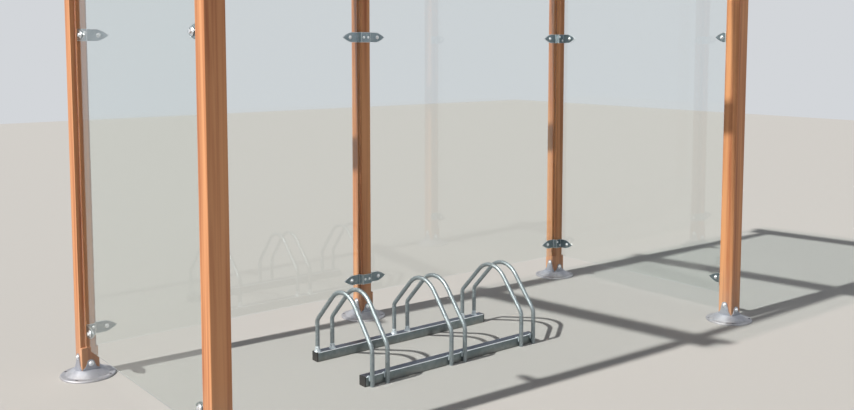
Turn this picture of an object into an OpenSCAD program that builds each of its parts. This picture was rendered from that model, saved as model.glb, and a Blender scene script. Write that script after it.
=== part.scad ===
// Bike shelter: square timber posts on galvanised feet, clear sheet walls held by
// pointed straps, a clear roof on timber beams, and a floor rack for three bikes.
// Millimetres. +X runs along the back wall, +Y towards the back, +Z up.

/* [Shelter] */
// Post centre to post centre along the back wall
bay = 1335; // [1150:5:1700]
// Post centre to post centre from back to front
depth = 1150; // [1000:10:1600]
// Top of the back posts above the ground
back_top = 1950; // [1700:10:2200]
// Top of the front posts above the ground
front_top = 2130; // [2050:10:2400]
// Gap left where one piece seats in or on another
seat_gap = 0.3; // [0.2:0.1:0.5]

/* [Posts] */
// Side of a square post
post_side = 70; // [60:1:90]
// How far a sheet laps into a post
lap = 12; // [8:1:16]
// Distance of a sheet's seat from the post's inner face
seat_depth = 24; // [18:1:30]
// Rounded edge of a post's outer corner
post_edge = 3; // [1:0.5:6]

/* [Clear sheets] */
// Thickness of a wall sheet
wall_sheet = 5; // [3:0.5:6]
// Thickness of a roof sheet
roof_sheet = 6; // [4:0.5:10]
// Bottom edge of the wall sheets above the ground
sheet_bottom = 120; // [110:1:150]

/* [Straps] */
// Thickness of the strap plate
strap_thick = 3; // [2:0.5:4]
// Height of a strap at its widest
strap_height = 47; // [36:1:60]
// Length of a wing from its bend to its tip
wing = 88; // [75:1:110]
// Length of the pointed nose of a wing
nose = 46; // [36:1:55]
// How far a nose's side bows out from a straight line
nose_bow = 3; // [1:0.5:5]
// Sideways run of the sloped step between wing and post
step_run = 8; // [6:1:14]
// Middle of the lower straps above the ground
lower_strap = 190; // [170:1:260]
// Middle of the upper straps above the ground
upper_strap = 1350; // [900:10:1500]

/* [Feet] */
// Radius of the round foot
foot_radius = 107; // [105:1:125]
// Height of the flat top that the post stands on
foot_height = 31; // [26:1:36]
// Height of the flat brim round the foot
brim_height = 8; // [7.5:0.5:10]
// Radius of the foot's flat top
top_flat = 50; // [48:1:52]
// Fall of the foot's sloped side, in degrees
side_fall = 35; // [34:1:45]
// Rounded edge between the flat top and the sloped side
top_edge = 8; // [7:0.5:10]
// Hollow curve between the sloped side and the brim
brim_curve = 6; // [4:0.5:8]
// Rounded outer edge of the brim
rim_edge = 6; // [6:0.5:6.5]
// Wall of the pressed foot and of its tongues
foot_wall = 4; // [3:0.5:5]
// Bolt height above the flat top in the tongues on the left and right faces
side_bolt = 47; // [40:1:60]
// Bolt height above the flat top in the tongues on the front and back faces
front_bolt = 25; // [20:1:40]
// Half width of a tongue round its bolt
tongue_end = 15; // [10:0.5:16]
// Distance from the foot's middle to each anchor hole
anchor_reach = 94.5; // [94:0.5:95]
// Radius of an anchor hole
anchor_hole = 6; // [4:0.5:6]

/* [Roof] */
// Width of a beam and of a rafter
beam_width = 60; // [45:1:70]
// Height of the front and back beams
beam_height = 120; // [90:5:160]
// Height of a rafter, measured plumb
rafter_height = 90; // [70:5:120]
// Depth of the rafter's notch over a beam
notch = 15; // [8:1:25]
// Roof sheet past the outer faces of the end posts
side_eave = 100; // [80:5:150]
// Roof sheet past the front and back faces of the posts
end_eave = 110; // [60:5:200]
// Rafter ends set in from the roof sheet's edge
rafter_set_in = 40; // [20:5:50]
// Gap between the two roof sheets under the middle cover strip
sheet_joint = 4; // [2:1:8]
// Width of a cover strip over the sheet edges
cover_width = 56; // [40:1:70]
// Thickness of a cover strip
cover_thick = 3; // [2:0.5:5]

/* [Rack] */
// Middle of the rack from the middle back post, along the wall
rack_shift = -93; // [-140:1:0]
// Front legs of the rack in front of the middle of the back posts
rack_front_line = 822; // [700:1:950]
// Distance from the rear legs to the front legs
leg_spread = 394; // [360:1:450]
// Outer diameter of a hoop's tube
tube = 18; // [14:1:22]
// Wall of the hoop's tube
tube_wall = 2; // [1.5:0.5:3]
// Middle of one hoop to the middle of its partner
pair_gap = 73; // [60:1:95]
// One wheel place to the next
place = 398; // [340:1:460]
// Side of the square floor rails
rail = 40; // [30:1:50]
// Rounded corners of the floor rails
rail_edge = 3; // [2:0.5:5]
// Wall of the floor rails
rail_wall = 2.5; // [1.5:0.5:4]
// Front rail past the first leg
front_rail_left = 13; // [5:1:60]
// Front rail past the last leg
front_rail_right = 4; // [2:1:60]
// Rear rail past the last leg
rear_rail_right = 34; // [5:1:60]
// Thickness of an end cap's rim
cap_thick = 4; // [3:0.5:8]
// How far an end cap's plug goes into the rail
cap_plug = 13; // [8:1:20]
// Height of the rear bend
rear_bend = 174; // [150:1:200]
// Height of the front bend
front_bend = 150; // [130:1:180]
// Height of the point where the two slants would meet
peak_height = 381; // [350:1:420]
// Distance of that point from the rear leg
peak_back = 203; // [170:1:235]
// Centreline radius of the rounded top
top_radius = 110; // [80:1:125]
// Centreline radius of the rear bend
rear_radius = 30; // [25:1:45]
// Centreline radius of the front bend
front_radius = 55; // [40:1:70]

/* [Hidden] */
$fn = 48;

timber = "#b5734c";
zinc = "#9fa8ad";
clear = "#cfe0e6";
black_cap = "#2b2b2d";

half = post_side / 2;
back_y = depth / 2;
front_y = -depth / 2;
seat = half - seat_depth;          // a sheet's seat from the post's middle
lap_in = half - lap;               // where a sheet's edge ends in the post
eps = 0.01;                         // overlap of two forms of one piece
over = 1;                           // how far a cutting form runs past the piece
elbow_lap = 2;                     // degrees that an elbow runs into a straight
elbow_step = 0.1;                  // how much thinner its tube is there
tongue_set_in = 2;                 // a tongue's foot from the post's corners
tongue_root = 3;                   // how far it stays that wide
tongue_waist = 0.4;                // part of its height at which it has narrowed

// Posts: rebates are cut on the inner side of the back wall and the outer side of a side wall.
module rebate_box(x0, x1, y0, y1, top) {
  translate([x0, y0, sheet_bottom])
    cube([x1 - x0, y1 - y0, top - sheet_bottom + over]);
}
module rounded_square(side, edge) {
  square([side, side - 2 * edge], center = true);
  square([side - 2 * edge, side], center = true);
  for (sx = [-1, 1], sy = [-1, 1])
    translate([sx * (side / 2 - edge), sy * (side / 2 - edge)]) circle(edge);
}
module post_blank(top) {
  translate([0, 0, foot_height])
    linear_extrude(top - foot_height) rounded_square(post_side, post_edge);
}
// side = 1 cuts the rebate that faces +X, side = -1 the one that faces -X
module back_wall_rebate(side, top) {
  x0 = side > 0 ? lap_in : -half - over;
  x1 = side > 0 ? half + over : -lap_in;
  rebate_box(x0, x1, -half - over, -seat, top);
}
// side = 1 for the right wall, run = -1 for a back post and 1 for a front post
module side_wall_rebate(side, run, top) {
  x0 = side > 0 ? seat : -half - over;
  x1 = side > 0 ? half + over : -seat;
  y0 = run < 0 ? -half - over : lap_in;
  y1 = run < 0 ? -lap_in : half + over;
  rebate_box(x0, x1, y0, y1, top);
}
module post_back_middle() {
  color(timber) translate([0, back_y, 0]) difference() {
    post_blank(back_top);
    back_wall_rebate(-1, back_top);
    back_wall_rebate(1, back_top);
  }
}
module post_back_corner(side) {
  color(timber) translate([side * bay, back_y, 0]) difference() {
    post_blank(back_top);
    back_wall_rebate(-side, back_top);
    side_wall_rebate(side, -1, back_top);
  }
}
module post_front_corner(side) {
  color(timber) translate([side * bay, front_y, 0]) difference() {
    post_blank(front_top);
    side_wall_rebate(side, 1, front_top);
  }
}

// Feet: a pressed round foot like a flat hat, whose top carries the post between four tongues.
slope_drop = foot_height - top_edge + top_edge * cos(side_fall)
  - brim_height - brim_curve + brim_curve * cos(side_fall);
brim_start = top_flat + (top_edge + brim_curve) * sin(side_fall) + slope_drop / tan(side_fall);
// Section of the foot, or with inset = foot_wall of the hollow under it; the two share their centres
module foot_profile(inset) {
  r = foot_radius - inset;
  edge = rim_edge - inset;
  crown = top_edge - inset;
  hollow = brim_curve + inset;
  brim = brim_height - inset;
  s = sin(side_fall);
  c = cos(side_fall);
  crown_z = foot_height - top_edge;
  hollow_z = brim_height + brim_curve;
  square([r - edge, brim]);
  square([r, brim - edge]);
  translate([r - edge, brim - edge]) circle(edge);
  translate([top_flat, crown_z]) circle(crown);
  difference() {
    polygon([
      [0, 0], [0, crown_z + crown], [top_flat, crown_z + crown],
      [top_flat + crown * s, crown_z + crown * c], [brim_start - hollow * s, hollow_z - hollow * c],
      [brim_start, hollow_z - hollow], [brim_start, 0]
    ]);
    translate([brim_start, hollow_z]) circle(hollow);
  }
}
module tongue_outline(bolt_height) {
  low = half - tongue_set_in;
  middle = (low + tongue_end) / 2 - tongue_set_in;
  waist = bolt_height * tongue_waist;
  polygon([
    [-low, -foot_wall / 2], [low, -foot_wall / 2], [low, tongue_root], [middle, waist],
    [tongue_end, bolt_height], [-tongue_end, bolt_height], [-middle, waist], [-low, tongue_root]
  ]);
  translate([0, bolt_height]) circle(tongue_end);
}
module tongue(bolt_height) {
  translate([0, -half - seat_gap, foot_height]) rotate([90, 0, 0])
    linear_extrude(foot_wall) tongue_outline(bolt_height);
}
module foot() {
  difference() {
    rotate_extrude($fn = 96) intersection() {
      difference() {
        foot_profile(0);
        foot_profile(foot_wall);
      }
      square([foot_radius + over, foot_height + over]);
    }
    for (turn = [45:90:315]) rotate([0, 0, turn])
      translate([anchor_reach, 0, -over]) cylinder(r = anchor_hole, h = foot_height + 2 * over);
  }
  for (turn = [0, 180]) rotate([0, 0, turn]) tongue(front_bolt);
  for (turn = [90, 270]) rotate([0, 0, turn]) tongue(side_bolt);
}
module foot_at(x, y) {
  color(zinc) translate([x, y, 0]) foot();
}

// Straps: bent plate with pointed wings, which lies on the sheets and steps over the post.
nose_side = norm([nose, strap_height / 2]);            // straight length of a nose's side
nose_radius = (nose_side * nose_side / 4 + nose_bow * nose_bow) / (2 * nose_bow);
nose_reach = (nose_radius - nose_bow) / nose_side;     // its centre from the side's middle, per length
wing_back = half - seat_depth + wall_sheet + 2 * seat_gap;   // the wing's back from the post's middle
face_out = half + seat_gap;
stem_out = lap_in + seat_gap;
module nose_outline() {
  centre_x = nose / 2 - nose_reach * strap_height / 2;
  centre_y = strap_height / 4 - nose_reach * nose;
  intersection() {
    translate([-eps, -strap_height / 2]) square([nose + over, strap_height]);
    translate([centre_x, centre_y]) circle(nose_radius, $fn = 96);
    translate([centre_x, -centre_y]) circle(nose_radius, $fn = 96);
  }
}
// Seen from the front: from x = 0 a plain band, then the pointed nose that ends at length
module wing_outline(length) {
  translate([0, -strap_height / 2]) square([length - nose, strap_height]);
  translate([length - nose, 0]) nose_outline();
}
// Plan of the strap's right half: along the post's face, down the sloped step, along the sheet
step_slope = atan2(face_out - wing_back, step_run);
outer_shift = strap_thick * tan(step_slope / 2);      // how far the outer bends sit beyond the inner
module half_plan(face_end) {
  t = strap_thick;
  bend = face_end + step_run;
  tip = bend + wing;
  polygon([
    [-eps, -face_out - t], [face_end + outer_shift, -face_out - t],
    [bend + outer_shift, -wing_back - t], [tip, -wing_back - t], [tip, -wing_back],
    [bend, -wing_back], [face_end, -face_out], [-eps, -face_out]
  ]);
}
module strap_half(face_end) {
  deep = face_out - wing_back + 3 * strap_thick;
  intersection() {
    translate([0, 0, -strap_height]) linear_extrude(2 * strap_height) half_plan(face_end);
    translate([-over, strap_thick - wing_back, 0]) rotate([90, 0, 0]) linear_extrude(deep)
      wing_outline(over + face_end + step_run + wing);
  }
}
module strap_middle() {
  strap_half(stem_out);
  mirror([1, 0, 0]) strap_half(stem_out);
}
// Plate along a side sheet's inner face, which starts at the post's face and points to -Y
module strap_leaf() {
  translate([seat, -face_out, 0]) rotate([90, 0, -90])
    linear_extrude(strap_thick) wing_outline(wing);
}
// Right-hand back corner: the left wing, the face plate and the leaf along the side sheet
module strap_corner() {
  t = strap_thick;
  mirror([1, 0, 0]) strap_half(stem_out);
  translate([-over, -face_out - t, -strap_height / 2]) cube([seat + over, t, strap_height]);
  strap_leaf();
}
// Right-hand front corner, seen from inside: face plate on the post's back, leaf along the sheet
module strap_front_corner() {
  t = strap_thick;
  mirror([0, 1, 0]) {
    translate([-half, -face_out - t, -strap_height / 2]) cube([half + seat, t, strap_height]);
    strap_leaf();
  }
}
module straps_at(x, y, flip) {
  color(zinc) for (z = [lower_strap, upper_strap])
    translate([x, y, z]) mirror([flip ? 1 : 0, 0, 0]) children();
}

// Clear sheets
sheet_y = back_y - seat - wall_sheet - seat_gap;     // the back sheets' inner face
module back_sheet(side) {
  x0 = lap_in + seat_gap;
  x1 = bay - lap_in - seat_gap;
  z0 = sheet_bottom + seat_gap;
  color(clear, 0.35) translate([side > 0 ? x0 : -x1, sheet_y, z0])
    cube([x1 - x0, wall_sheet, back_top - seat_gap - z0]);
}
function rafter_foot(y) =
  (back_top + front_top) / 2 + beam_height - notch - y * (front_top - back_top) / depth;
module side_sheet(side) {
  z0 = sheet_bottom + seat_gap;
  y_back = back_y - lap_in - seat_gap;
  y_front = front_y + lap_in + seat_gap;
  y_back_beam = back_y - beam_width / 2 - seat_gap;
  y_front_beam = front_y + beam_width / 2 + seat_gap;
  inner = bay + seat + seat_gap;
  color(clear, 0.35)
    translate([side > 0 ? inner : -inner - wall_sheet, 0, 0])
      rotate([90, 0, 90]) linear_extrude(wall_sheet) polygon([
        [y_back, z0], [y_back, back_top - seat_gap], [y_back_beam, back_top - seat_gap],
        [y_back_beam, rafter_foot(y_back_beam) - seat_gap],
        [y_front_beam, rafter_foot(y_front_beam) - seat_gap],
        [y_front_beam, front_top - seat_gap], [y_front, front_top - seat_gap], [y_front, z0]
      ]);
}

// Beams lie on the posts, rafters notched over them
module beam(y, z) {
  length = 2 * bay + post_side;
  color(timber) translate([-length / 2, y - beam_width / 2, z]) cube([length, beam_width, beam_height]);
}
module slope_band(low, high, reach) {
  polygon([
    [-reach, rafter_foot(-reach) + low], [reach, rafter_foot(reach) + low],
    [reach, rafter_foot(reach) + high], [-reach, rafter_foot(-reach) + high]
  ]);
}
roof_reach = depth / 2 + half + end_eave;
rafter_reach = roof_reach - rafter_set_in;
module rafter(x) {
  color(timber) translate([x - beam_width / 2, 0, 0]) rotate([90, 0, 90])
    linear_extrude(beam_width) difference() {
      slope_band(0, rafter_height, rafter_reach);
      for (end = [[back_y, back_top], [front_y, front_top]])
        translate([end[0] - beam_width / 2 - seat_gap, end[1]])
          square([beam_width + 2 * seat_gap, beam_height + seat_gap]);
    }
}
module roof_sheet_at(side) {
  x0 = sheet_joint / 2;
  x1 = bay + half + side_eave;
  color(clear, 0.35) translate([side > 0 ? x0 : -x1, 0, 0]) rotate([90, 0, 90])
    linear_extrude(x1 - x0)
      slope_band(rafter_height + seat_gap, rafter_height + seat_gap + roof_sheet, roof_reach);
}
module cover(x) {
  low = rafter_height + roof_sheet + 2 * seat_gap;
  color(zinc) translate([x - cover_width / 2, 0, 0]) rotate([90, 0, 90])
    linear_extrude(cover_width) slope_band(low, low + cover_thick, roof_reach);
}

// Rack: two floor rails and six bent hoops in three pairs
front_legs_y = back_y - rack_front_line;
rear_legs_y = front_legs_y + leg_spread;
first_leg = rack_shift - place - pair_gap / 2;
last_leg = rack_shift + place + pair_gap / 2;
front_rail_y = front_legs_y + tube / 2 + rail / 2 + seat_gap;
front_rail_ends = [first_leg - tube / 2 - front_rail_left, last_leg + tube / 2 + front_rail_right];
rear_rail_ends = [first_leg - tube / 2, last_leg + tube / 2 + rear_rail_right];
module rail_tube(ends, y) {
  length = ends[1] - ends[0];
  bore = rail - 2 * rail_wall;
  color(zinc) translate([ends[0], y, rail / 2]) rotate([90, 0, 90])
    linear_extrude(length) difference() {
      rounded_square(rail, rail_edge);
      square(bore, center = true);
    }
}
module rack_rail_front() { rail_tube(front_rail_ends, front_rail_y); }
module rack_rail_rear() { rail_tube(rear_rail_ends, rear_legs_y); }
// out = -1 for the cap of a left end, 1 for that of a right end
module cap(x, y, out) {
  plug = rail - 2 * rail_wall - 2 * seat_gap;
  head_middle = seat_gap + cap_thick / 2;
  translate([x, y, rail / 2]) rotate([0, out * 90, 0]) {
    translate([0, 0, seat_gap]) linear_extrude(cap_thick) rounded_square(rail, rail_edge);
    translate([0, 0, (head_middle - cap_plug) / 2])
      cube([plug, plug, head_middle + cap_plug], center = true);
  }
}
module rack_caps() {
  color(black_cap) for (i = [0, 1]) {
    cap(front_rail_ends[i], front_rail_y, 2 * i - 1);
    cap(rear_rail_ends[i], rear_legs_y, 2 * i - 1);
  }
}

// A tube bent through a list of corners, each [across, up, centreline radius]
function heading(a, b) = atan2(b[1] - a[1], b[0] - a[0]);
function turn_at(p, i) =
  let (t = heading(p[i], p[i + 1]) - heading(p[i - 1], p[i]))
  t > 180 ? t - 360 : t < -180 ? t + 360 : t;
function setback(p, i) =
  i == 0 || i == len(p) - 1 ? 0 : p[i][2] * tan(abs(turn_at(p, i)) / 2);
// Segment i and all that follow it, drawn from its start along local +X. An elbow is a hair
// thinner than the straights and runs a little way into them, so that each seam is a clean ring.
module rod_from(p, i, r) {
  run = norm([p[i + 1][0] - p[i][0], p[i + 1][1] - p[i][1]]) - setback(p, i) - setback(p, i + 1);
  rotate([0, 90, 0]) cylinder(r = r, h = run);
  if (i < len(p) - 2) {
    t = turn_at(p, i + 1);
    bend = p[i + 1][2];
    side = t > 0 ? 1 : -1;
    translate([run, side * bend, 0]) {
      rotate([0, 0, (t > 0 ? -90 : 90 + t) - elbow_lap])
        rotate_extrude(angle = abs(t) + 2 * elbow_lap) translate([bend, 0]) circle(r - elbow_step);
      rotate([0, 0, t]) translate([0, -side * bend, 0]) rod_from(p, i + 1, r);
    }
  }
}
module bent_rod(p, r) {
  translate([p[0][0], p[0][1], 0]) rotate([0, 0, heading(p[0], p[1])]) rod_from(p, 0, r);
}
// The hoop in the plane of Y and Z, from the rear rail's top to the ground before the front rail
function hoop_line(ends) = [
  [rear_legs_y, rail + seat_gap - ends, 0], [rear_legs_y, rear_bend, rear_radius],
  [rear_legs_y - peak_back, peak_height, top_radius], [front_legs_y, front_bend, front_radius],
  [front_legs_y, -ends, 0]
];
module hoop(x) {
  color(zinc) translate([x, 0, 0]) rotate([90, 0, 90]) difference() {
    bent_rod(hoop_line(0), tube / 2);
    bent_rod(hoop_line(over), tube / 2 - tube_wall);
  }
}
function hoop_x(i) =
  rack_shift + (floor(i / 2) - 1) * place + (i % 2 == 0 ? -1 : 1) * pair_gap / 2;

post_back_corner(-1);  // post_back_left
post_back_middle();
post_back_corner(1);  // post_back_right
post_front_corner(-1);  // post_front_left
post_front_corner(1);  // post_front_right
foot_at(-bay, back_y);  // foot_back_left
foot_at(0, back_y);  // foot_back_middle
foot_at(bay, back_y);  // foot_back_right
foot_at(-bay, front_y);  // foot_front_left
foot_at(bay, front_y);  // foot_front_right
straps_at(-bay, back_y, true) strap_corner();  // straps_back_left
straps_at(0, back_y, false) strap_middle();  // straps_back_middle
straps_at(bay, back_y, false) strap_corner();  // straps_back_right
straps_at(-bay, front_y, true) strap_front_corner();  // straps_front_left
straps_at(bay, front_y, false) strap_front_corner();  // straps_front_right
back_sheet(-1);  // back_sheet_left
back_sheet(1);  // back_sheet_right
side_sheet(-1);  // side_sheet_left
side_sheet(1);  // side_sheet_right
beam(back_y, back_top);  // beam_back
beam(front_y, front_top);  // beam_front
rafter(-bay);  // rafter_left
rafter(0);  // rafter_middle
rafter(bay);  // rafter_right
roof_sheet_at(-1);  // roof_sheet_left
roof_sheet_at(1);  // roof_sheet_right
cover(-bay);  // cover_left
cover(0);  // cover_middle
cover(bay);  // cover_right
rack_rail_front();
rack_rail_rear();
rack_caps();
hoop(hoop_x(0));  // rack_hoop_1
hoop(hoop_x(1));  // rack_hoop_2
hoop(hoop_x(2));  // rack_hoop_3
hoop(hoop_x(3));  // rack_hoop_4
hoop(hoop_x(4));  // rack_hoop_5
hoop(hoop_x(5));  // rack_hoop_6
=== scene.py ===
# %% [markdown]
# # A bike shelter in clear sheet, stained timber and galvanised steel
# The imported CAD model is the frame, and this lesson dresses it. It adds the bolts, nuts, screws
# and weld beads that the solids leave out, and it gives every piece its finish.
# Everything is in metres, with +X along the back wall, +Y towards it and +Z up.

# %% Load the frame
import bpy
import bmesh
import math
from mathutils import Matrix, Vector


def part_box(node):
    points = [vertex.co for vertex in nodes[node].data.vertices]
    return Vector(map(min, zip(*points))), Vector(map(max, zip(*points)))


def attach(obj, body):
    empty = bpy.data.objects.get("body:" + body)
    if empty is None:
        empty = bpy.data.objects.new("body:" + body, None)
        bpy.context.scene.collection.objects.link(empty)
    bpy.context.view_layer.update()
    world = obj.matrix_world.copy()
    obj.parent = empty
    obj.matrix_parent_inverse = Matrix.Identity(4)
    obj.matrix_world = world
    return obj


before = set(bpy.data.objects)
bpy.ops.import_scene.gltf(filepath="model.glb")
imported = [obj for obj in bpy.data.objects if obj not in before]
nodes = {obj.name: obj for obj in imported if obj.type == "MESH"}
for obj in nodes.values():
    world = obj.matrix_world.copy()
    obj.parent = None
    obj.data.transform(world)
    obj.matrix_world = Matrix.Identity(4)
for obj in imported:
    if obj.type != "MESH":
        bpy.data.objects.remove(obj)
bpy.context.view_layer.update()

# %% [markdown]
# ## Camera
# The photograph was taken at chest height, looking along the rack to the back wall, and it shows
# only the lower part of a wider view, with upright posts. A level camera would need a large lens
# shift for that, so this one looks down a little and needs only half of it. Its place, its lens
# and the row of the picture that it points at come from fitting the posts, feet and hoops.

# %% Camera at the photograph's angle
PHOTO_WIDTH, PHOTO_HEIGHT = 854, 410
FOCAL_PIXELS = 948.7
AXIS_ROW = 130.5
SENSOR = 36.0
CAMERA_PLACE = (-2.581, -3.157, 1.302)
QUARTER = math.radians(90)
LOOK_DOWN = math.radians(5)
LOOK_RIGHT = math.radians(38.6)

camera_data = bpy.data.cameras.new("camera")
camera_data.sensor_width = SENSOR
camera_data.lens = FOCAL_PIXELS / PHOTO_WIDTH * SENSOR
camera_data.shift_y = -(PHOTO_HEIGHT / 2 - AXIS_ROW) / PHOTO_WIDTH
camera = bpy.data.objects.new("camera", camera_data)
camera.location = CAMERA_PLACE
camera.rotation_euler = (QUARTER - LOOK_DOWN, 0, -LOOK_RIGHT)
bpy.context.scene.collection.objects.link(camera)
bpy.context.scene.camera = camera
print("lens %.1f mm, shift %.3f" % (camera_data.lens, camera_data.shift_y))

# %% [markdown]
# ## Floor
# The shelter stands on level ground, which takes its shadows.

# %% Pale floor
FLOOR_REACH = 14.0
FLOOR_TONE = (0.46, 0.45, 0.44)
FLOOR_ROUGHNESS = 0.9


def new_material(name):
    material = bpy.data.materials.new(name)
    material.use_nodes = True
    tree = material.node_tree
    shader = tree.nodes["Principled BSDF"]
    return material, tree, shader


def make_floor():
    mesh = bpy.data.meshes.new("floor")
    corners = [(-FLOOR_REACH, -FLOOR_REACH, 0), (FLOOR_REACH, -FLOOR_REACH, 0),
               (FLOOR_REACH, FLOOR_REACH, 0), (-FLOOR_REACH, FLOOR_REACH, 0)]
    mesh.from_pydata(corners, [], [(0, 1, 2, 3)])
    floor = bpy.data.objects.new("floor", mesh)
    bpy.context.scene.collection.objects.link(floor)
    material, tree, shader = new_material("floor_pale")
    shader.inputs["Base Color"].default_value = (*FLOOR_TONE, 1)
    shader.inputs["Roughness"].default_value = FLOOR_ROUGHNESS
    mesh.materials.append(material)


make_floor()
print("floor reaches", FLOOR_REACH, "m each way")

# %% [markdown]
# ## World
# Zinc and clear sheet show little colour of their own and much of what is around them. A picture
# of a sky would tint them, so the world is one even pale tone. Rays that come straight from the
# camera, off a shiny face or through a sheet meet a bright backdrop. All others get a weaker fill,
# so that the sides away from the sun stay in shade.

# %% Even world
FILL = 0.28
BACKDROP = 0.7
WORLD_TONE = (0.93, 0.96, 1.0)


def add_node(tree, kind, **settings):
    node = tree.nodes.new(kind)
    for key, value in settings.items():
        setattr(node, key, value)
    return node


def wire(tree, *pairs):
    for output, target in pairs:
        tree.links.new(output, target)


def make_world():
    world = bpy.data.worlds.new("studio")
    bpy.context.scene.world = world
    world.use_nodes = True
    tree = world.node_tree
    background = tree.nodes["Background"]
    background.inputs["Color"].default_value = (*WORLD_TONE, 1)
    path = add_node(tree, "ShaderNodeLightPath")
    seen = add_node(tree, "ShaderNodeMath", operation="MAXIMUM")
    seen_too = add_node(tree, "ShaderNodeMath", operation="MAXIMUM")
    strength = add_node(tree, "ShaderNodeMapRange")
    strength.inputs["To Min"].default_value = FILL
    strength.inputs["To Max"].default_value = BACKDROP
    wire(tree, (path.outputs["Is Camera Ray"], seen.inputs[0]),
         (path.outputs["Is Glossy Ray"], seen.inputs[1]),
         (seen.outputs[0], seen_too.inputs[0]),
         (path.outputs["Is Transmission Ray"], seen_too.inputs[1]),
         (seen_too.outputs[0], strength.inputs["Value"]),
         (strength.outputs["Result"], background.inputs["Strength"]))


make_world()
print("world fills with", FILL, "and shows a backdrop of", BACKDROP)

# %% [markdown]
# ## Sun
# The hoops' shadows in the photograph give the sun's place: on the left, 45 degrees high and
# nearly in line with the back wall. So the left faces of the posts are bright and their fronts
# are in shade. An area lamp would need a place and a size. A sun lamp needs only a direction, here
# turned by a few degrees so that the back beam leaves the posts' left faces lit. A disc of one
# degree softens its shadows.

# %% Sun on the left
TO_SUN = Vector((-1.0, 0.035, 1.0))
SUN_POWER = 4.8
SUN_DISC = math.radians(1)
SUN_TONE = (1.0, 0.965, 0.9)


def make_sun():
    light = bpy.data.lights.new("sun", "SUN")
    light.energy = SUN_POWER
    light.angle = SUN_DISC
    light.color = SUN_TONE
    sun = bpy.data.objects.new("sun", light)
    sun.rotation_euler = TO_SUN.normalized().to_track_quat("Z", "Y").to_euler()
    bpy.context.scene.collection.objects.link(sun)


make_sun()
bpy.context.scene.view_settings.view_transform = "Standard"
print("sun of", SUN_POWER, "towards", tuple(round(part, 3) for part in TO_SUN))

# %% [markdown]
# ## Shared effects
# Five effects make the surfaces: the timber's grain, the bloom of the zinc, dust from the ground,
# a painted highlight on edges, and painted light and shade on the rails. Each could be wired anew
# in every material. As a node group with named inputs it is built once, and each material places
# it with its own values.

# %% Group helper
FLOAT, VECTOR = "NodeSocketFloat", "NodeSocketVector"


def new_group(name, inputs, outputs):
    """A node group with the named sockets, and its two end nodes, where values enter and leave."""
    group = bpy.data.node_groups.new(name, "ShaderNodeTree")
    for socket_name, kind, default in inputs:
        socket = group.interface.new_socket(socket_name, in_out="INPUT", socket_type=kind)
        if default is not None:
            socket.default_value = default
    for socket_name, kind in outputs:
        group.interface.new_socket(socket_name, in_out="OUTPUT", socket_type=kind)
    return group, group.nodes.new("NodeGroupInput"), group.nodes.new("NodeGroupOutput")


print("group sockets are", FLOAT, "or", VECTOR)

# %% [markdown]
# ## Timber grain
# Planed timber shows fine streaks along its length and broader growth bands between them. They
# could be cut as grooves, but they are far finer than a face. A noise that is stretched along the
# piece gives both, and it never repeats.

# %% Timber grain group
BAND_SHARE = 0.35


def make_timber_grain():
    """Streaks run along the third axis, and growth bands have BAND_SHARE of the streaks' scale."""
    group, inlet, outlet = new_group(
        "timber_grain",
        [("Vector", VECTOR, None), ("Streak Scale", FLOAT, 60.0), ("Stretch", FLOAT, 0.03)],
        [("Streaks", FLOAT), ("Rings", FLOAT), ("Height", FLOAT)])
    squeeze = add_node(group, "ShaderNodeCombineXYZ")
    squeeze.inputs["X"].default_value = 1.0
    squeeze.inputs["Y"].default_value = 1.0
    along = add_node(group, "ShaderNodeVectorMath", operation="MULTIPLY")
    streaks = add_node(group, "ShaderNodeTexNoise")
    streaks.inputs["Detail"].default_value = 4.0
    streaks.inputs["Roughness"].default_value = 0.6
    band_scale = add_node(group, "ShaderNodeMath", operation="MULTIPLY")
    band_scale.inputs[1].default_value = BAND_SHARE
    rings = add_node(group, "ShaderNodeTexNoise")
    rings.inputs["Detail"].default_value = 2.0
    rings.inputs["Distortion"].default_value = 0.6
    wire(group, (inlet.outputs["Stretch"], squeeze.inputs["Z"]),
         (inlet.outputs["Vector"], along.inputs[0]), (squeeze.outputs[0], along.inputs[1]),
         (along.outputs[0], streaks.inputs["Vector"]), (along.outputs[0], rings.inputs["Vector"]),
         (inlet.outputs["Streak Scale"], streaks.inputs["Scale"]),
         (inlet.outputs["Streak Scale"], band_scale.inputs[0]),
         (band_scale.outputs[0], rings.inputs["Scale"]),
         (streaks.outputs["Fac"], outlet.inputs["Streaks"]),
         (rings.outputs["Fac"], outlet.inputs["Rings"]),
         (streaks.outputs["Fac"], outlet.inputs["Height"]))
    return group


timber_grain = make_timber_grain()
print("made group", timber_grain.name)

# %% [markdown]
# ## Zinc bloom
# Hot-dip zinc cools into small crystals, with cloudy patches of duller metal over them. A single
# noise would look like plain dirt, so a cell pattern makes the crystals and a slow noise makes the
# patches. All galvanised pieces share them, each with its own scales.

# %% Zinc bloom group
def make_zinc_bloom():
    group, inlet, outlet = new_group(
        "zinc_bloom",
        [("Vector", VECTOR, None), ("Cell Scale", FLOAT, 60.0), ("Cloud Scale", FLOAT, 9.0)],
        [("Cells", FLOAT), ("Clouds", FLOAT), ("Height", FLOAT)])
    cells = add_node(group, "ShaderNodeTexVoronoi")
    cells.inputs["Randomness"].default_value = 1.0
    tone = add_node(group, "ShaderNodeSeparateColor")
    clouds = add_node(group, "ShaderNodeTexNoise")
    clouds.inputs["Detail"].default_value = 5.0
    wire(group, (inlet.outputs["Vector"], cells.inputs["Vector"]),
         (inlet.outputs["Vector"], clouds.inputs["Vector"]),
         (inlet.outputs["Cell Scale"], cells.inputs["Scale"]),
         (inlet.outputs["Cloud Scale"], clouds.inputs["Scale"]),
         (cells.outputs["Color"], tone.inputs[0]), (tone.outputs[0], outlet.inputs["Cells"]),
         (clouds.outputs["Fac"], outlet.inputs["Clouds"]),
         (cells.outputs["Distance"], outlet.inputs["Height"]))
    return group


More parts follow.
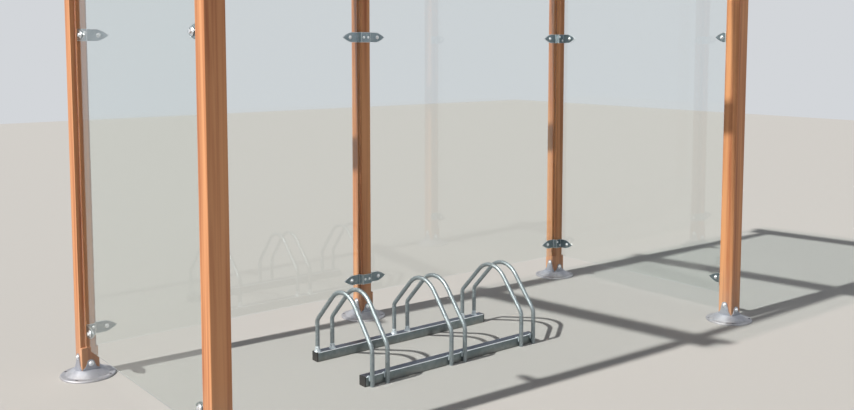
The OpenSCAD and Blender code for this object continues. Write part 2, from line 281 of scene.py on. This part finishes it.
zinc_bloom = make_zinc_bloom()
print("made group", zinc_bloom.name)

# %% [markdown]
# ## Ground dust
# Rain throws dust onto whatever stands near the ground. The mask is strongest at the ground and
# ends at the height Reach. A plain gradient would look painted, so a noise breaks it up.

# %% Ground dust group
def make_ground_dust():
    group, inlet, outlet = new_group(
        "ground_dust",
        [("Vector", VECTOR, None), ("Reach", FLOAT, 0.12), ("Patch Scale", FLOAT, 25.0)],
        [("Mask", FLOAT)])
    parts = add_node(group, "ShaderNodeSeparateXYZ")
    fade = add_node(group, "ShaderNodeMapRange")
    fade.inputs["To Min"].default_value = 1.0
    fade.inputs["To Max"].default_value = 0.0
    patches = add_node(group, "ShaderNodeTexNoise")
    patches.inputs["Detail"].default_value = 4.0
    both = add_node(group, "ShaderNodeMath", operation="MULTIPLY")
    wire(group, (inlet.outputs["Vector"], parts.inputs[0]),
         (parts.outputs["Z"], fade.inputs["Value"]),
         (inlet.outputs["Reach"], fade.inputs["From Max"]),
         (inlet.outputs["Vector"], patches.inputs["Vector"]),
         (inlet.outputs["Patch Scale"], patches.inputs["Scale"]),
         (fade.outputs["Result"], both.inputs[0]), (patches.outputs["Fac"], both.inputs[1]),
         (both.outputs[0], outlet.inputs["Mask"]))
    return group


ground_dust = make_ground_dust()
print("made group", ground_dust.name)

# %% [markdown]
# ## Edge highlight
# The straps' bends and edges catch the light in bright lines, and this mask paints that highlight
# into the colour. Each bright edge could be a narrow face with its own material. A Bevel node is
# simpler: it rounds the normal near an edge, and the mask grows with the distance between the
# rounded normal and the true one.

# %% Edge shine group
def make_edge_painted_highlight():
    group, inlet, outlet = new_group(
        "edge_painted_highlight",
        [("Radius", FLOAT, 0.0025), ("Gain", FLOAT, 5.0)],
        [("Mask", FLOAT)])
    rounded = add_node(group, "ShaderNodeBevel", samples=6)
    flat = add_node(group, "ShaderNodeNewGeometry")
    apart = add_node(group, "ShaderNodeVectorMath", operation="DISTANCE")
    scaled = add_node(group, "ShaderNodeMath", operation="MULTIPLY", use_clamp=True)
    wire(group, (inlet.outputs["Radius"], rounded.inputs["Radius"]),
         (rounded.outputs["Normal"], apart.inputs[0]), (flat.outputs["Normal"], apart.inputs[1]),
         (apart.outputs["Value"], scaled.inputs[0]), (inlet.outputs["Gain"], scaled.inputs[1]),
         (scaled.outputs[0], outlet.inputs["Mask"]))
    return group


edge_painted_highlight = make_edge_painted_highlight()
print("made group", edge_painted_highlight.name)

# %% [markdown]
# ## Rail light
# The square floor rails get a painted highlight along their two rounded upper corners and a painted
# dark reflection on top between them. The Bevel node would brighten all their edges alike. The
# rail's section is known, so the two masks are worked out from the place on the rail.

# %% Rail painted light group
RAIL_SQUARE = 0.04
RAIL_CORNER = 0.003
PAINTED_LIGHT_FADE = RAIL_CORNER / 4


def make_rail_painted_light():
    """Masks for a painted dark reflection on a rail's top and a painted highlight on its rounded corners;
    its middle line is at Y = Middle.
    """
    group, inlet, outlet = new_group(
        "rail_painted_light",
        [("Vector", VECTOR, None), ("Middle", FLOAT, 0.0)],
        [("Top", FLOAT), ("Corners", FLOAT)])
    parts = add_node(group, "ShaderNodeSeparateXYZ")
    aside = add_node(group, "ShaderNodeMath", operation="SUBTRACT")
    either = add_node(group, "ShaderNodeMath", operation="ABSOLUTE")
    past_side = add_node(group, "ShaderNodeMath", operation="SUBTRACT")
    past_side.inputs[1].default_value = RAIL_SQUARE / 2 - RAIL_CORNER
    past_top = add_node(group, "ShaderNodeMath", operation="SUBTRACT")
    past_top.inputs[1].default_value = RAIL_SQUARE - RAIL_CORNER
    both = add_node(group, "ShaderNodeMath", operation="MINIMUM")
    edge = add_node(group, "ShaderNodeMapRange")
    edge.inputs["From Max"].default_value = PAINTED_LIGHT_FADE
    top = add_node(group, "ShaderNodeMapRange")
    top.inputs["From Max"].default_value = PAINTED_LIGHT_FADE
    wire(group, (inlet.outputs["Vector"], parts.inputs[0]),
         (parts.outputs["Y"], aside.inputs[0]), (inlet.outputs["Middle"], aside.inputs[1]),
         (aside.outputs[0], either.inputs[0]), (either.outputs[0], past_side.inputs[0]),
         (parts.outputs["Z"], past_top.inputs[0]), (past_side.outputs[0], both.inputs[0]),
         (past_top.outputs[0], both.inputs[1]), (both.outputs[0], edge.inputs["Value"]),
         (past_top.outputs[0], top.inputs["Value"]), (top.outputs["Result"], outlet.inputs["Top"]),
         (edge.outputs["Result"], outlet.inputs["Corners"]))
    return group


rail_painted_light = make_rail_painted_light()
print("made group", rail_painted_light.name, "for rails of", RAIL_SQUARE, "m square")

# %% [markdown]
# ## Blocks for the finishes
# Timber, zinc and black caps each get one Principled shader that the groups feed. The same few
# steps come back in all three: find the place on the piece, put a group there, stretch a value to
# another range, blend two colours and add a bump. Each could be wired by hand again and again. As
# functions they keep a finish down to what is its own.

# %% Blocks for places and groups
def object_place(tree):
    """Positions on the piece in metres."""
    return add_node(tree, "ShaderNodeTexCoord").outputs["Object"]


def turned_place(tree, place, turn):
    """Positions turned by three angles, to bring the grain's way to the third axis."""
    mapping = add_node(tree, "ShaderNodeMapping")
    mapping.inputs["Rotation"].default_value = turn
    tree.links.new(place, mapping.inputs["Vector"])
    return mapping.outputs["Vector"]


def place_group(tree, group, vector, **values):
    """A shared group at a position; an input's spaces are written as underscores."""
    node = add_node(tree, "ShaderNodeGroup", node_tree=group)
    tree.links.new(vector, node.inputs["Vector"])
    for key, value in values.items():
        node.inputs[key.replace("_", " ")].default_value = value
    return node


print("made", object_place.__name__, turned_place.__name__, place_group.__name__)

# %% Blocks for values, colours and bumps
# The Mix node's colour sockets come after those for numbers and vectors, and share their names.
MIX_FIRST, MIX_SECOND, MIX_RESULT = 6, 7, 2


def remap(tree, value, new, old=(0, 1)):
    """A value that runs from new[0] to new[1] while the given one runs from old[0] to old[1]."""
    node = add_node(tree, "ShaderNodeMapRange")
    node.inputs["From Min"].default_value = old[0]
    node.inputs["From Max"].default_value = old[1]
    node.inputs["To Min"].default_value = new[0]
    node.inputs["To Max"].default_value = new[1]
    tree.links.new(value, node.inputs["Value"])
    return node.outputs["Result"]


def blend_colors(tree, factor, first, second):
    """A colour that goes from first to second as factor, an output, goes from 0 to 1."""
    mix = add_node(tree, "ShaderNodeMix", data_type="RGBA")
    tree.links.new(factor, mix.inputs["Factor"])
    for number, value in ((MIX_FIRST, first), (MIX_SECOND, second)):
        if isinstance(value, tuple):
            mix.inputs[number].default_value = (*value, 1)
        else:
            tree.links.new(value, mix.inputs[number])
    return mix.outputs[MIX_RESULT]


def bump(tree, shader, height, strength, distance):
    node = add_node(tree, "ShaderNodeBump")
    node.inputs["Strength"].default_value = strength
    node.inputs["Distance"].default_value = distance
    wire(tree, (height, node.inputs["Height"]), (node.outputs["Normal"], shader.inputs["Normal"]))


print("made", remap.__name__, blend_colors.__name__, bump.__name__)

# %% [markdown]
# ## Stained timber
# Posts, beams and rafters are planed timber with a red-brown stain. Three materials could be set
# up by hand, but they differ only in the way the grain runs, so one function makes all three. The
# streaks go from light to dark stain, the growth bands glow through, and dust lies near the ground.

# %% Timber in three directions
STAIN_LIGHT = (0.57, 0.24, 0.1)
STAIN_DARK = (0.35, 0.11, 0.045)
STAIN_GLOW = (0.68, 0.32, 0.145)
STAIN_ROUGHNESS = (0.42, 0.62)
STREAK_RANGE = (0.35, 0.68)
BAND_RANGE = (0.4, 0.66)
DUST = (0.42, 0.36, 0.3)
DUST_COVER = (0, 0.6)


def stained_timber(name, turn):
    material, tree, shader = new_material(name)
    place = object_place(tree)
    along = turned_place(tree, place, turn)
    grain = place_group(tree, timber_grain, along, Streak_Scale=90.0, Stretch=0.025)
    dust = place_group(tree, ground_dust, place, Reach=0.3)
    fine = remap(tree, grain.outputs["Streaks"], (0, 1), STREAK_RANGE)
    wide = remap(tree, grain.outputs["Rings"], (0, 1), BAND_RANGE)
    tone = blend_colors(tree, fine, STAIN_LIGHT, STAIN_DARK)
    tone = blend_colors(tree, wide, tone, STAIN_GLOW)
    tone = blend_colors(tree, remap(tree, dust.outputs["Mask"], DUST_COVER), tone, DUST)
    roughness = remap(tree, grain.outputs["Streaks"], STAIN_ROUGHNESS)
    wire(tree, (tone, shader.inputs["Base Color"]), (roughness, shader.inputs["Roughness"]))
    bump(tree, shader, grain.outputs["Height"], strength=0.35, distance=0.001)
    return material


post_finish = stained_timber("timber_posts", (0, 0, 0))
beam_finish = stained_timber("timber_beams", (0, QUARTER, 0))
rafter_finish = stained_timber("timber_rafters", (QUARTER, 0, 0))
print("made", post_finish.name, beam_finish.name, rafter_finish.name)

# %% [markdown]
# ## Galvanised steel
# Feet, straps, rails, hoops, cover strips, bolts and weld beads all have a coat of zinc. Separate
# node trees would repeat each other, so one function takes two tones, the roughness and the scale
# of the crystals, and adds dust, a painted edge highlight or painted light on the rails where a
# piece has them. On feet, hoops and weld beads the coat is partly matt, so those aren't fully
# metallic.

# %% Zinc with its bloom, dust and wear
# A painted highlight for bright edges, and a painted dark reflection for the tops of the rails.
PAINTED_EDGE_HIGHLIGHT = (0.9, 0.93, 0.95)
RAIL_TOP_PAINTED_REFLECTION = (0.1, 0.115, 0.16)
CELLS_ACROSS_CLOUD = 5
CELL_COVER = (0, 0.6)
CLOUD_COVER, CLOUD_RANGE = (0, 0.7), (0.4, 0.65)
DULL_RANGE = (0.35, 0.65)


def galvanised(name, light, dark, rough, cells, dust_reach=0.0, relief=0.1, metallic=1.0,
               edges=False, rail_middle=None):
    """Zinc in tones from light to dark; rough holds values outside and inside the dark clouds."""
    material, tree, shader = new_material(name)
    place = object_place(tree)
    bloom = place_group(tree, zinc_bloom, place,
                        Cell_Scale=cells, Cloud_Scale=cells / CELLS_ACROSS_CLOUD)
    clouds = bloom.outputs["Clouds"]
    tone = blend_colors(tree, remap(tree, bloom.outputs["Cells"], CELL_COVER), light, dark)
    tone = blend_colors(tree, remap(tree, clouds, CLOUD_COVER, CLOUD_RANGE), tone, dark)
    if dust_reach:
        dust = place_group(tree, ground_dust, place, Reach=dust_reach)
        tone = blend_colors(tree, remap(tree, dust.outputs["Mask"], DUST_COVER), tone, DUST)
    # A painted highlight along the straps' edges and bends, mixed into the colour.
    if edges:
        edge_highlight = add_node(tree, "ShaderNodeGroup", node_tree=edge_painted_highlight)
        tone = blend_colors(tree, edge_highlight.outputs["Mask"], tone, PAINTED_EDGE_HIGHLIGHT)
    # A painted dark reflection on the rails' tops and a painted highlight on their rounded corners.
    if rail_middle is not None:
        rail_light = place_group(tree, rail_painted_light, place, Middle=rail_middle)
        tone = blend_colors(tree, rail_light.outputs["Top"], tone, RAIL_TOP_PAINTED_REFLECTION)
        tone = blend_colors(tree, rail_light.outputs["Corners"], tone, PAINTED_EDGE_HIGHLIGHT)
    roughness = remap(tree, clouds, rough, DULL_RANGE)
    shader.inputs["Metallic"].default_value = metallic
    wire(tree, (tone, shader.inputs["Base Color"]), (roughness, shader.inputs["Roughness"]))
    bump(tree, shader, bloom.outputs["Height"], strength=relief, distance=0.0006)
    return material


print("crystals darken zinc by up to", CELL_COVER[1], "and clouds by up to", CLOUD_COVER[1])

# %% Zinc for each kind of piece
def rail_zinc(rail):
    """A rail's own zinc, because its painted light follows its middle line."""
    rail_low, rail_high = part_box(rail)
    return galvanised("zinc_" + rail, light=(0.24, 0.285, 0.3), dark=(0.155, 0.195, 0.21),
                      rough=(0.34, 0.46), cells=70.0, dust_reach=0.03,
                      rail_middle=(rail_low[1] + rail_high[1]) / 2)


foot_finish = galvanised("zinc_foot", light=(0.47, 0.485, 0.535), dark=(0.32, 0.34, 0.395),
                         rough=(0.42, 0.6), cells=50.0, dust_reach=0.03, metallic=0.6)
strap_finish = galvanised("zinc_strap", light=(0.31, 0.37, 0.4), dark=(0.18, 0.24, 0.265),
                          rough=(0.28, 0.42), cells=90.0, edges=True)
rail_finishes = {rail: rail_zinc(rail) for rail in ("rack_rail_front", "rack_rail_rear")}
hoop_finish = galvanised("zinc_hoop", light=(0.32, 0.36, 0.38), dark=(0.24, 0.28, 0.3),
                         rough=(0.42, 0.52), cells=160.0, metallic=0.75)
bolt_finish = galvanised("zinc_bolt", light=(0.94, 0.96, 0.98), dark=(0.84, 0.87, 0.9),
                         rough=(0.3, 0.42), cells=160.0)
weld_finish = galvanised("zinc_weld", light=(0.76, 0.83, 0.87), dark=(0.5, 0.57, 0.62),
                         rough=(0.25, 0.4), cells=220.0, relief=0.5, metallic=0.5)
cover_finish = galvanised("zinc_cover", light=(0.52, 0.56, 0.58), dark=(0.4, 0.44, 0.47),
                          rough=(0.35, 0.5), cells=60.0)
print("made", *(name for name in bpy.data.materials.keys() if name.startswith("zinc_")))

# %% [markdown]
# ## Clear sheet
# The walls and the roof are flat clear plastic with a faint tint, and they mirror the hoops. Full
# transmission with a smooth surface gives both. On its own it would throw a dark shadow, because
# the sun's light isn't followed through a surface that bends it. So shadow rays and diffuse rays
# pass straight through a transparent shader instead, and lose only a little light.

# %% Sheets for walls and roof
SHEET_IOR = 1.58
SHEET_ROUGHNESS = 0.02
WALL_TINT = (0.93, 0.96, 0.95)
ROOF_TINT = (0.95, 0.97, 0.97)
SHADOW_TINT = (0.9, 0.92, 0.92)


def clear_sheet(name, tint):
    material, tree, shader = new_material(name)
    shader.inputs["Base Color"].default_value = (*tint, 1)
    shader.inputs["Roughness"].default_value = SHEET_ROUGHNESS
    shader.inputs["IOR"].default_value = SHEET_IOR
    shader.inputs["Transmission Weight"].default_value = 1.0
    path = add_node(tree, "ShaderNodeLightPath")
    through = add_node(tree, "ShaderNodeBsdfTransparent")
    through.inputs["Color"].default_value = (*SHADOW_TINT, 1)
    straight = add_node(tree, "ShaderNodeMath", operation="MAXIMUM")
    mix = add_node(tree, "ShaderNodeMixShader")
    surface = tree.nodes["Material Output"].inputs["Surface"]
    wire(tree, (path.outputs["Is Shadow Ray"], straight.inputs[0]),
         (path.outputs["Is Diffuse Ray"], straight.inputs[1]),
         (straight.outputs[0], mix.inputs["Fac"]),
         (shader.outputs[0], mix.inputs[1]), (through.outputs[0], mix.inputs[2]),
         (mix.outputs[0], surface))
    return material


wall_finish = clear_sheet("clear_wall", WALL_TINT)
roof_finish = clear_sheet("clear_roof", ROOF_TINT)
print("made", wall_finish.name, roof_finish.name)

# %% [markdown]
# ## Black caps
# The open ends of the rails are closed with moulded black plugs, matt and finely speckled. The
# speckles could be modelled only with very many faces. A fine noise moves the roughness and the
# bump instead, and a trace of dust greys the black.

# %% Moulded black caps
CAP_BLACK = (0.014, 0.014, 0.016)
CAP_ROUGHNESS = (0.4, 0.6)
CAP_DUST_COVER = (0, 0.1)
SPECKLE_SCALE = 900.0


def moulded_black():
    material, tree, shader = new_material("black_cap")
    place = object_place(tree)
    speckle = add_node(tree, "ShaderNodeTexNoise")
    speckle.inputs["Scale"].default_value = SPECKLE_SCALE
    wire(tree, (place, speckle.inputs["Vector"]))
    dust = place_group(tree, ground_dust, place, Reach=0.06)
    tone = blend_colors(tree, remap(tree, dust.outputs["Mask"], CAP_DUST_COVER), CAP_BLACK, DUST)
    roughness = remap(tree, speckle.outputs["Fac"], CAP_ROUGHNESS)
    wire(tree, (tone, shader.inputs["Base Color"]), (roughness, shader.inputs["Roughness"]))
    bump(tree, shader, speckle.outputs["Fac"], strength=0.2, distance=0.0003)
    return material


cap_finish = moulded_black()
print("made", cap_finish.name)

# %% [markdown]
# ## Finishes on the frame
# Each CAD piece gets one finish. A list with all the pieces would be long, but a piece's name
# starts with the word for its kind, so a short list of such words covers them all.

# %% Put the finishes on the CAD pieces
FINISHES = [("post_", post_finish), ("beam_", beam_finish), ("rafter_", rafter_finish),
            ("foot_", foot_finish), ("straps_", strap_finish), ("cover_", cover_finish),
            ("roof_sheet", roof_finish), ("back_sheet", wall_finish), ("side_sheet", wall_finish),
            *rail_finishes.items(), ("rack_caps", cap_finish), ("rack_hoop", hoop_finish)]
for name, piece in nodes.items():
    finish = next(finish for start, finish in FINISHES if name.startswith(start))
    piece.data.materials.clear()
    piece.data.materials.append(finish)
print("finishes put on", len(nodes), "nodes")

# %% [markdown]
# ## Bolts, nuts and screws
# The straps are bolted through the sheets with domed bolts on washers, with a nut behind. Small
# screws hold them to the posts, and bolts hold the feet. Heads could be put together from balls
# and cylinders, but each is round about its axis, so one outline describes it, and a helper
# revolves it into a closed form. A nut is the same revolve with six sides.

# %% Turned pieces
ROUND_SIDES = 24


def ring_of(bm, place, radius, height, sides):
    """Corners round a circle at a height above place."""
    angles = (2 * math.pi * k / sides for k in range(sides))
    return [bm.verts.new(place @ Vector((radius * math.cos(a), radius * math.sin(a), height)))
            for a in angles]


def turned(bm, profile, place, sides=ROUND_SIDES):
    """Adds a closed revolve of profile, (radius, height) pairs from axis to axis, at place."""
    rings = []
    for radius, height in profile:
        if radius == 0:
            rings.append([bm.verts.new(place @ Vector((0, 0, height)))])
        else:
            rings.append(ring_of(bm, place, radius, height, sides))
    for low, high in zip(rings, rings[1:]):
        for k in range(sides):
            after = (k + 1) % sides
            if len(low) == 1:
                bm.faces.new((low[0], high[after], high[k]))
            elif len(high) == 1:
                bm.faces.new((low[k], low[after], high[0]))
            else:
                bm.faces.new((low[k], low[after], high[after], high[k]))


def facing(point, direction):
    """A placing whose +Z looks along direction at point."""
    turn = Vector(direction).to_track_quat("Z", "Y").to_matrix().to_4x4()
    return Matrix.Translation(point) @ turn


print("round heads have", ROUND_SIDES, "sides")

# %% Outlines of heads and nuts
WASHER_EDGE = 0.0005
DOME_STEPS = 8
NUT_WASHER = 0.002
NUT_ACROSS, NUT_HEIGHT = 0.013, 0.008
NUT_STRAIGHT, NUT_CROWN = 0.85, 0.88
NUT_SIDES = 6


def dome_head(head, dome, washer_radius, washer):
    """A washer with a domed head on it; the profile runs from the axis below to the axis on top."""
    rim = [(0, 0), (washer_radius - WASHER_EDGE, 0), (washer_radius, WASHER_EDGE),
           (washer_radius, washer - WASHER_EDGE), (washer_radius - WASHER_EDGE, washer),
           (head, washer)]
    angles = (math.pi / 2 * k / DOME_STEPS for k in range(1, DOME_STEPS))
    curve = [(head * math.cos(a), washer + dome * math.sin(a)) for a in angles]
    return rim + curve + [(0, washer + dome)]


def hex_nut(bm, place):
    """A six-sided nut that stands on place, narrower at its outer end."""
    corner = NUT_ACROSS / math.sqrt(3)
    profile = [(0, 0), (corner, 0), (corner, NUT_HEIGHT * NUT_STRAIGHT),
               (corner * NUT_CROWN, NUT_HEIGHT), (0, NUT_HEIGHT)]
    turned(bm, profile, place, NUT_SIDES)


sheet_bolt = dome_head(head=0.007, dome=0.006, washer_radius=0.009, washer=0.0016)
nut_seat = dome_head(head=0.009, dome=0.003, washer_radius=0.0135, washer=NUT_WASHER)
tongue_bolt = dome_head(head=0.008, dome=0.0055, washer_radius=0.0105, washer=0.0015)
post_screw = dome_head(head=0.0048, dome=0.003, washer_radius=0.0062, washer=0.0008)
print("a head's outline has", len(sheet_bolt), "points")

# %% [markdown]
# ## Where the fasteners sit
# The bolts belong on the straps and feet. Their places could be typed in, but read from the
# frame's boxes they stay right when the model changes. Only what a box doesn't show has a value of
# its own: the gap between parts that touch, the thickness of straps and sheets, half of a strap's
# height, and how deep the seat of a sheet is cut into its post.

# %% Sizes that the fasteners follow
def centre(node):
    low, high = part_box(node)
    return (Vector(low) + Vector(high)) / 2


POSTS = {side: centre("foot_" + side) for side in
         ("back_left", "back_middle", "back_right", "front_left", "front_right")}
post_low, post_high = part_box("post_back_middle")
POST_HALF = (post_high[0] - post_low[0]) / 2
GAP = 0.0003
STRAP_THICK = 0.003
SHEET_THICK = 0.005
SEAT_DEPTH = 0.024
SHEET_SEAT = POST_HALF - SEAT_DEPTH
WING_BACK = SHEET_SEAT + SHEET_THICK + 2 * GAP
straps_low, straps_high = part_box("straps_back_middle")
STRAP_HALF = 0.0235
STRAP_HEIGHTS = (straps_low[2] + STRAP_HALF, straps_high[2] - STRAP_HALF)
print("straps at", STRAP_HEIGHTS, "posts", {k: tuple(round(c, 3) for c in v) for k, v in POSTS.items()})

# %% [markdown]
# ## Fasteners of the straps
# A strap's wings lie on the back sheets and its leaf on a side sheet, and each has one bolt. Two
# screws hold the strap to its post. Each could be an object of its own, but nothing here is taken
# apart, so all strap fasteners of a post are one mesh.

# %% A mesh that rides on the frame
SMOOTH_UP_TO = math.radians(40)


def finish_mesh(name, bm, material):
    """Makes bm a piece that rides on the frame's one body; edges over SMOOTH_UP_TO stay sharp."""
    bmesh.ops.recalc_face_normals(bm, faces=bm.faces)
    mesh = bpy.data.meshes.new(name)
    bm.to_mesh(mesh)
    bm.free()
    mesh.shade_smooth()
    mesh.set_sharp_from_angle(angle=SMOOTH_UP_TO)
    mesh.materials.append(material)
    piece = bpy.data.objects.new(name, mesh)
    bpy.context.scene.collection.objects.link(piece)
    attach(piece, "root")
    print(name, "has", len(mesh.polygons), "faces")


print("faces that meet below %.0f degrees look smooth" % math.degrees(SMOOTH_UP_TO))

# %% Bolts and screws of the straps
# A wing's bolt is measured from the post's middle, a leaf's bolt from the post's face.
WING_BOLT = 0.0775
LEAF_BOLT = 0.05
WINGS = {"back_left": (1,), "back_middle": (-1, 1), "back_right": (-1,)}
MIDDLE_SCREWS = [(-0.012, 0), (0.012, 0)]
CORNER_SCREWS = [(-0.018, 0.01), (0.002, -0.01)]
SCREW_SIDES = 16


def sheet_fastener(bm, point, out):
    """A bolt on a strap at point, and its washer and nut on the sheet's other side."""
    turned(bm, sheet_bolt, facing(point, out))
    behind = point - out * (STRAP_THICK + SHEET_THICK + GAP)
    turned(bm, nut_seat, facing(behind, -out))
    hex_nut(bm, facing(behind - out * NUT_WASHER, -out))


def strap_fasteners(side):
    """For both straps of a post; inside is the way in along Y, and hand is -1 at the left posts."""
    bm = bmesh.new()
    post = POSTS[side]
    inside = -1 if side.startswith("back") else 1
    hand = -1 if side.endswith("left") else 1
    at_end = not side.endswith("middle")
    inward = Vector((0, inside, 0))
    screws = [(hand * across, up) for across, up in CORNER_SCREWS] if at_end else MIDDLE_SCREWS
    for z in STRAP_HEIGHTS:
        for wing in WINGS.get(side, ()):
            point = Vector((post.x + wing * WING_BOLT, post.y - WING_BACK - STRAP_THICK, z))
            sheet_fastener(bm, point, inward)
        if at_end:
            along = post.y + inside * (POST_HALF + GAP + LEAF_BOLT)
            point = Vector((post.x + hand * (SHEET_SEAT - STRAP_THICK), along, z))
            sheet_fastener(bm, point, Vector((-hand, 0, 0)))
        plate = Vector((post.x, post.y + inside * (POST_HALF + GAP + STRAP_THICK), z))
        for across, up in screws:
            screw = facing(plate + Vector((across, 0, up)), inward)
            turned(bm, post_screw, screw, SCREW_SIDES)
    finish_mesh("strap_bolts_" + side, bm, bolt_finish)


for side in POSTS:
    strap_fasteners(side)
print("strap fasteners made for", len(POSTS), "posts")

# %% [markdown]
# ## Bolts of the feet
# Each of a foot's four tongues is held to its post by one bolt. They could be copies of one
# object, but four placings in a loop are as short. The bolts on the left and right faces sit
# higher than those in front and behind.

# %% Bolts in the tongues
TONGUES = 4
TONGUE_THICK = 0.004
FOOT_TOP = 0.031
FRONT_BOLT, SIDE_BOLT = 0.025, 0.047


def foot_fasteners(side):
    bm = bmesh.new()
    post = POSTS[side]
    for turn in range(TONGUES):
        out = Vector((math.sin(turn * QUARTER), -math.cos(turn * QUARTER), 0))
        up = FOOT_TOP + (FRONT_BOLT if turn % 2 == 0 else SIDE_BOLT)
        point = Vector((post.x, post.y, up)) + out * (POST_HALF + GAP + TONGUE_THICK)
        turned(bm, tongue_bolt, facing(point, out))
    finish_mesh("foot_bolts_" + side, bm, bolt_finish)


for side in POSTS:
    foot_fasteners(side)
print("foot bolts made for", len(POSTS), "feet")

# %% [markdown]
# ## Weld beads
# Each rear leg of a hoop flares out brightly where it is welded on the rear rail. Each front leg
# has a short seam along both sides on the front rail, and a bright drop on the rail's edge. Beads
# could be sculpted one by one. A flare is a ring with a hollow cheek, and seams and drops are small
# spindles, so turned outlines are enough here too. Their ripples come from the finish.

# %% Outlines of the beads
# A cheek is measured outwards from its tube, a seam and a drop from their own axes.
RING_SIDES = 32
BEAD_SIDES = 12
TUCK = 0.001
CHEEK = [(0.0055, 0), (0.0036, 0.003), (0.0016, 0.01), (0.0005, 0.02)]
CHEEK_TOP = 0.027
SEAM = [(0, -0.011), (0.002, -0.0095), (0.0034, 0.001), (0.0028, 0.007), (0, 0.0095)]
SEAM_ASIDE, SEAM_PROUD, SEAM_BELOW = 0.86, 0.0014, 0.009
DROP = [(0, -0.006), (0.003, -0.0045), (0.0042, 0), (0.003, 0.0045), (0, 0.006)]
DROP_ASIDE, DROP_SUNK = 0.002, 0.0005
print("a flare is", CHEEK_TOP, "m high, with", RING_SIDES, "sides")

# %% Beads at the rear legs and beside the front legs
HOOPS = sum(name.startswith("rack_hoop_") for name in nodes)


def ring_bead(bm, profile, place):
    """Adds a closed ring at place; profile goes once round its section, as (radius, height)."""
    rings = [ring_of(bm, place, radius, height, RING_SIDES) for radius, height in profile]
    for low, high in zip(rings, rings[1:] + rings[:1]):
        for k in range(RING_SIDES):
            after = (k + 1) % RING_SIDES
            bm.faces.new((low[k], low[after], high[after], high[k]))


def weld_beads():
    bm = bmesh.new()
    rail_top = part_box("rack_rail_rear")[1][2]
    rail_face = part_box("rack_rail_front")[0][1]
    for k in range(1, HOOPS + 1):
        hoop_low, hoop_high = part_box("rack_hoop_%d" % k)
        radius = (hoop_high[0] - hoop_low[0]) / 2
        x = (hoop_high[0] + hoop_low[0]) / 2
        flare = [(radius + out, up) for out, up in CHEEK]
        section = [(radius - TUCK, 0)] + flare + [(radius - TUCK, CHEEK_TOP)]
        rear_leg = Vector((x, hoop_high[1] - radius, rail_top))
        ring_bead(bm, section, Matrix.Translation(rear_leg))
        for hand in (-1, 1):
            seam = Vector((x + hand * radius * SEAM_ASIDE, rail_face - SEAM_PROUD, rail_top - SEAM_BELOW))
            turned(bm, SEAM, Matrix.Translation(seam), BEAD_SIDES)
        drop = Vector((x - radius - DROP_ASIDE, rail_face + DROP_SUNK, rail_top - DROP_SUNK))
        turned(bm, DROP, facing(drop, (1, 0, 0)), BEAD_SIDES)
    finish_mesh("weld_beads", bm, weld_finish)


weld_beads()
print("weld beads made for", HOOPS, "hoops")
